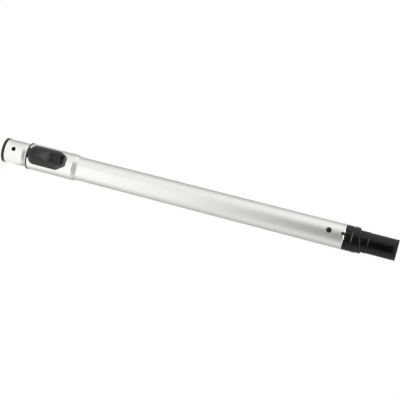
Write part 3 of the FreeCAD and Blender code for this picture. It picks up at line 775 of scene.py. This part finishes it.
def make_thumb_pad():
    length, half = pad_high.z - pad_low.z, pad_high.x
    foot = -carriage_low.y
    full = -pad_low.y - foot
    alongs = [length * 0.5 * (1 - c) for c in cosines(PAD_STEPS_ALONG)]
    acrosses = [-half * c for c in cosines(PAD_STEPS_ACROSS)]
    spots = [(u, x) for u in alongs for x in acrosses]
    top = [(x, -foot - pad_height(u, x, length, half, full), pad_low.z + u) for u, x in spots]
    base = [(x, -foot, pad_low.z + u) for u, x in spots]
    wide, count = len(acrosses), len(top)
    faces = []
    for i in range(len(alongs) - 1):
        for j in range(wide - 1):
            quad = (i * wide + j, i * wide + j + 1, (i + 1) * wide + j + 1, (i + 1) * wide + j)
            faces += [quad, tuple(count + k for k in reversed(quad))]
    rim = list(range(wide)) + [i * wide + wide - 1 for i in range(1, len(alongs))]
    rim += [count - 1 - j for j in range(1, wide)] + [i * wide for i in range(len(alongs) - 2, 0, -1)]
    faces += [(a, b, count + b, count + a) for a, b in zip(rim, rim[1:] + rim[:1])]
    mesh = bpy.data.meshes.new("thumb_pad_dish")
    mesh.from_pydata([Vector(p) * MM for p in top + base], [], faces)
    outward(mesh)
    piece = finished(new_piece("thumb_pad_dish", mesh, pad_plastic), sharp=55.0)
    stands_for(piece, "slide", "black_pad", "thumb_pad")


# Tool end

def band_edge(angle):
    """Where the second band ends: its edge swings from the short side to the long side."""
    share = ((1 + math.sin(angle)) / 2) ** BAND_SWING
    return COLLAR_LINE + BAND_SHORT + (BAND_LONG - BAND_SHORT) * share


def grip_recess(angle):
    """How far the collar's grip panels are sunk at an angle: two panels, opposite each other."""
    away = min(abs(around(angle, GRIP_TURN)), abs(around(angle, GRIP_TURN + math.pi)))
    return GRIP_DEPTH * (1 - eased(ramp(away, GRIP_HALF + GRIP_FADE[0], GRIP_HALF + GRIP_FADE[-1])))


def finger_pad(angle):
    """How far the flat finger pads stand out of the second band at an angle."""
    across = BAND_RADIUS * abs(math.cos(angle))
    if across > FINGER_HALF + FINGER_SIDE:
        return 0.0
    flat = FINGER_FACE / abs(math.sin(angle)) - BAND_RADIUS
    return flat * (1 - eased(ramp(across, FINGER_HALF - FINGER_SIDE, FINGER_HALF + FINGER_SIDE)))


def stepped(radius, z, steps):
    """Outline points at small steps from an edge."""
    return [(radius + out, z + up) for out, up in steps]


def panel(radius, rise, low, high, ease):
    """Outline points over a panel that rises out of a radius, or is sunk into it, with eased ends."""
    share, before, at, after = ease
    return [(radius, low - before), (radius + rise * share, low + at), (radius + rise, low + after),
            (radius + rise, high - after), (radius + rise * share, high - at), (radius, high + before)]


def adapter_outline(angle):
    """The adapter's outline (radius, z) at an angle: up to the spigot's end, and down the bore."""
    edge, end, low = band_edge(angle), adapter_high.z, adapter_low.z
    pad_start, pad_end = COLLAR_LINE + FINGER_START, COLLAR_LINE + BAND_SHORT - FINGER_MARGIN
    grip_start, grip_end = COLLAR_START + GRIP_MARGIN, COLLAR_LINE - GRIP_MARGIN
    plug = [(PLUG_BORE, low), (PLUG_RADIUS - EDGE, low), (PLUG_RADIUS, low + EDGE),
            (PLUG_RADIUS, COLLAR_START)]
    collar = (stepped(COLLAR_RADIUS, COLLAR_START, COLLAR_RIM)
              + panel(COLLAR_RADIUS, -grip_recess(angle), grip_start, grip_end, GRIP_EASE)
              + stepped(COLLAR_RADIUS, COLLAR_LINE, COLLAR_BROW))
    band = (stepped(BAND_RADIUS, COLLAR_LINE, BAND_GROOVE)
            + panel(BAND_RADIUS, finger_pad(angle), pad_start, pad_end, FINGER_EASE)
            + stepped(BAND_RADIUS, edge, BAND_RIM))
    root = stepped(ROOT_RADIUS, edge, ROOT_FILLET) + stepped(ROOT_RADIUS, ROOT_END, ROOT_RIM)
    spigot = (stepped(SPIGOT_RADIUS, ROOT_END, SPIGOT_FOOT)
              + stepped(SPIGOT_RADIUS, end - LIP_LINE, LIP_GROOVE)
              + stepped(SPIGOT_RADIUS, end, SPIGOT_RIM))
    bore = stepped(SPIGOT_BORE, end, BORE_RIM) + stepped(SPIGOT_BORE, COLLAR_START, BORE_STEP)
    return plug + collar + band + root + spigot + bore + [(PLUG_BORE, COLLAR_START)]


def make_adapter():
    edges = [GRIP_TURN + turn + sign * (GRIP_HALF + shift) for turn in (0, math.pi) for sign in (1, -1)
             for shift in GRIP_FADE]
    pad_turn = math.asin(FINGER_HALF / BAND_RADIUS)
    edges += [side + sign * (pad_turn + shift) for side in (math.pi / 2, -math.pi / 2) for sign in (1, -1)
              for shift in FINGER_FADE]
    angles = spread(ADAPTER_COLUMNS, edges)
    outlines = split_runs([adapter_outline(angle) for angle in angles], ADAPTER_STEP)
    rows = [[on_wand(angle, *spot) for angle, spot in zip(angles, spots)] for spots in zip(*outlines)]
    piece = grid_piece("tool_adapter_moulding", rows, True, adapter_plastic)
    hole = side_hole("guide_cut", BUTTON_RADIUS + 2 * CLEAR, PLUG_RADIUS, BUTTON_Z)
    finished(piece, [hole], sharp=48.0)
    key = box_mesh("end_key", (-KEY_HALF, adapter_low.y, COLLAR_START - 2 * KEY_HALF),
                   (KEY_HALF, -PLUG_RADIUS + KEY_ROOT, COLLAR_START + KEY_LAP), bevel=KEY_BEVEL)
    work = bmesh.new()
    work.from_mesh(piece.data)
    work.from_mesh(key)
    work.to_mesh(piece.data)
    work.free()
    stands_for(piece, "outer", "black_adapter", "tool_adapter")


def make_button():
    top, foot = -button_low.y, -button_high.y
    brim = top - BUTTON_DOME
    dome = [(BUTTON_RADIUS * math.cos(t), brim + (top - brim) * math.sin(t))
            for t in np.linspace(0, math.pi / 2, BUTTON_STEPS)[:-1]]
    outline = [(BUTTON_RADIUS, foot), (BUTTON_RADIUS, brim - BUTTON_BRIM)] + dome + [(BUTTON_TIP, top)]
    turns = [2 * math.pi * i / BUTTON_COLUMNS for i in range(BUTTON_COLUMNS)]
    rows = [[(r * math.cos(t) * MM, -height * MM, (BUTTON_Z + r * math.sin(t)) * MM) for t in turns]
            for r, height in outline]
    piece = finished(grid_piece("snap_button_dome", rows, False, button_plastic))
    stands_for(piece, "button", "black_pad", "snap_button")


# Springs

def make_return_spring():
    """A coil with closed ends."""
    low, high = reach("return_spring")
    radius, middle = high.x - SPRING_WIRE / 2, (low.y + high.y) / 2
    start, end = low.z + SPRING_WIRE / 2, high.z - SPRING_WIRE / 2
    rows = []
    for i in range(SPRING_TURNS * SPRING_STEPS + 1):
        turn = i / SPRING_STEPS
        rise = (end - start - 2 * SPRING_WIRE) * ramp(turn, 1, SPRING_TURNS - 1)
        z = start + rise + SPRING_WIRE * (ramp(turn, 0, 1) + ramp(turn, SPRING_TURNS - 1, SPRING_TURNS))
        spin = 2 * math.pi * turn
        ring = []
        for j in range(SPRING_SIDES):
            side = 2 * math.pi * j / SPRING_SIDES
            r = radius + SPRING_WIRE / 2 * math.cos(side)
            height = z + SPRING_WIRE / 2 * math.sin(side)
            ring.append((r * math.cos(spin) * MM, (middle + r * math.sin(spin)) * MM, height * MM))
        rows.append(ring)
    piece = finished(grid_piece("return_spring_coil", rows, False, bright_steel))
    stands_for(piece, "outer", "bright_steel", "return_spring")
    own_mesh(piece)


def make_button_spring():
    """A leaf whose root tab is held in the plug."""
    low, high = reach("button_spring")
    bottom, tab, root = -high.y, -low.y, low.z
    face = bottom + LEAF_THICK
    spots = [(root, tab), (root + LEAF_THICK, tab), (root + LEAF_THICK + CLEAR, face + LEAF_THICK)]
    spots += [(z, face) for z in np.linspace(root + 2 * LEAF_THICK, high.z, LEAF_STEPS)]
    rows = []
    for z, top in spots:
        corners = ((high.x, bottom), (high.x, top), (low.x, top), (low.x, bottom))
        rows.append([(x * MM, -height * MM, z * MM) for x, height in corners])
    piece = finished(grid_piece("button_spring_leaf", rows, False, bright_steel))
    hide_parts("button_spring")
    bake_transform(piece)


make_outer_tube()
make_inner_tube()
make_end_ring()
make_cover()
make_thumb_pad()
make_adapter()
make_button()
make_return_spring()
make_button_spring()

# Solids that keep their own shape and get a finish
kept_solids = {"guide_sleeve": trim_plastic, "tube_seal": seal_rubber, "lock_carriage": grey_plastic,
               "tail_bush": grey_plastic, "lock_roller": bright_steel}
for name, material in kept_solids.items():
    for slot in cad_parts[name].material_slots:
        slot.material = material


# Camera, matched to the photograph

FOCAL_PIXELS = 964.0
IMAGE_PIXELS = 400.0
SENSOR = 36.0
LENS_SHIFT = (0.3843, 0.0109)
AXIS_SLOPE = math.radians(15.366)
AXIS_TILT = math.radians(19.266)
LOCK_RISE = math.radians(10.27)
AIM_HEIGHT = 0.329
EYE = Vector((-0.2342, -0.0070, 1.4669))

along = Vector((math.cos(AXIS_SLOPE), -math.sin(AXIS_SLOPE), 0))
across = Vector((math.sin(AXIS_SLOPE), math.cos(AXIS_SLOPE), 0))
back = Vector((0, 0, 1))
wand = math.cos(AXIS_TILT) * along + math.sin(AXIS_TILT) * back
front = math.cos(AXIS_TILT) * back - math.sin(AXIS_TILT) * along
lock = math.cos(LOCK_RISE) * front + math.sin(LOCK_RISE) * across
to_world = Matrix((wand.cross(lock), -lock, wand))
camera = bpy.data.objects.new("camera", bpy.data.cameras.new("camera"))
bpy.context.scene.collection.objects.link(camera)
camera.data.sensor_width = SENSOR
camera.data.lens = FOCAL_PIXELS / IMAGE_PIXELS * SENSOR
camera.data.shift_x, camera.data.shift_y = LENS_SHIFT
camera.matrix_world = Matrix.Translation(Vector((0, 0, AIM_HEIGHT)) + to_world @ EYE) @ to_world.to_4x4()
bpy.context.scene.camera = camera


# White table and soft studio light

TABLE_LOW = (-0.026, -1.8)
TABLE_HIGH = (1.5, 0.05)
TABLE_GREY = 0.92
TABLE_GLOW = 0.7
GLOW_FADE = 1.0
# Light level by direction, in degrees round the wand from the lock towards +X, at the horizon and low
# down: a dim room before the wand over a white floor, softer light at its sides, dark flags behind them
# and a white backdrop
HORIZON = ((-180, 1.0), (-143, 1.0), (-128, 0.42), (-106, 0.42), (-90, 1.0), (-40, 1.0), (-22, 0.48),
           (-4, 0.05), (42, 0.04), (62, 0.36), (84, 0.76), (108, 0.74), (128, 0.44), (155, 0.42),
           (168, 1.0), (180, 1.0))
FLOOR = ((-180, 1.0), (-143, 1.0), (-128, 0.38), (-106, 0.4), (-90, 0.8), (-52, 0.95), (-26, 0.9),
         (-8, 1.0), (40, 1.0), (60, 0.94), (84, 0.86), (108, 0.8), (128, 0.56), (155, 0.42),
         (168, 1.0), (180, 1.0))
FLOOR_EDGE = (0.0, -0.2)
# The least light level by the height of the direction: a pale rail above the dim room, and a grey ceiling
LEAST_LIGHT = ((0.07, 0.0), (0.13, 0.7), (0.18, 0.7), (0.42, 0.25), (0.6, 0.15), (1.0, 0.15))
LAMP_PLACE = Vector((-0.2, -0.25, 2.2))
LAMP_AIM = Vector((0.0, -0.3, 0.0))
LAMP_SIZE = 1.4
LAMP_POWER = 44.0


def seen_white(tree):
    """1 for what the camera, a reflection or clear material sees, and 0 for light that is only gathered."""
    camera_ray, glossy, clear = (tree.add("ShaderNodeLightPath", {}, {}, f"Is {kind} Ray")
                                 for kind in ("Camera", "Glossy", "Transmission"))
    return tree.add("ShaderNodeMath", {"operation": "MINIMUM"}, {0: camera_ray + glossy + clear, 1: 1.0})


def make_table():
    """A white table that glows to the eye, but not under the socket, whose inside stays dark."""
    (x0, y0), (x1, y1) = TABLE_LOW, TABLE_HIGH
    mesh = bpy.data.meshes.new("table")
    mesh.from_pydata([(x0, y0, 0), (x1, y0, 0), (x1, y1, 0), (x0, y1, 0)], [], [(0, 1, 2, 3)])
    material = bpy.data.materials.new("white_table")
    tree = NodeTree(material)
    place = tree.add("ShaderNodeTexCoord", {}, {}, "Object")
    away = tree.add("ShaderNodeVectorMath", {"operation": "LENGTH"}, {0: place}, "Value")
    open_top = clamped(tree, away, (SOCKET_RADIUS - GLOW_FADE) * MM, SOCKET_RADIUS * MM)
    matt = tree.add("ShaderNodeBsdfDiffuse", {}, {"Color": grey(TABLE_GREY)})
    glow = tree.add("ShaderNodeEmission", {}, {"Color": grey(1.0), "Strength": 1.0})
    share = seen_white(tree) * open_top * TABLE_GLOW
    mixed = tree.add("ShaderNodeMixShader", {}, {"Fac": share, 1: matt, 2: glow})
    tree.add("ShaderNodeOutputMaterial", {}, {"Surface": mixed})
    new_piece("table", mesh, material)


def level_curve(tree, value, stops):
    """A level that runs straight from stop to stop."""
    return tree.add("ShaderNodeValToRGB", {"stops": stops}, {"Fac": value}, "Color")


def make_world():
    world = bpy.data.worlds.new("studio")
    bpy.context.scene.world = world
    tree = NodeTree(world)
    way = tree.add("ShaderNodeTexCoord", {}, {}, "Generated")
    x, y, z = (tree.add("ShaderNodeSeparateXYZ", {}, {"Vector": way}, i) for i in range(3))
    turn = tree.add("ShaderNodeMath", {"operation": "ARCTAN2"}, {0: x, 1: 0.0 - y})
    share = turn * (0.5 / math.pi) + 0.5
    horizon, floor = (level_curve(tree, share, [(degrees / 360 + 0.5, level) for degrees, level in stops])
                      for stops in (HORIZON, FLOOR))
    level = horizon + clamped(tree, z, *FLOOR_EDGE) * (floor - horizon)
    least = level_curve(tree, z, LEAST_LIGHT)
    level = tree.add("ShaderNodeMath", {"operation": "MAXIMUM"}, {0: level, 1: least})
    sky = tree.add("ShaderNodeBackground", {}, {"Color": grey(1.0), "Strength": level})
    tree.add("ShaderNodeOutputWorld", {}, {"Surface": sky})


def make_lamp():
    """A large soft lamp above the wand."""
    lamp = bpy.data.lights.new("soft_lamp", "AREA")
    lamp.shape = "DISK"
    lamp.size = LAMP_SIZE
    lamp.energy = LAMP_POWER
    holder = bpy.data.objects.new("soft_lamp", lamp)
    bpy.context.scene.collection.objects.link(holder)
    holder.location = LAMP_PLACE
    holder.rotation_euler = (LAMP_AIM - LAMP_PLACE).to_track_quat("-Z", "Y").to_euler()


make_table()
make_world()
make_lamp()
bpy.context.scene.view_settings.view_transform = "Standard"
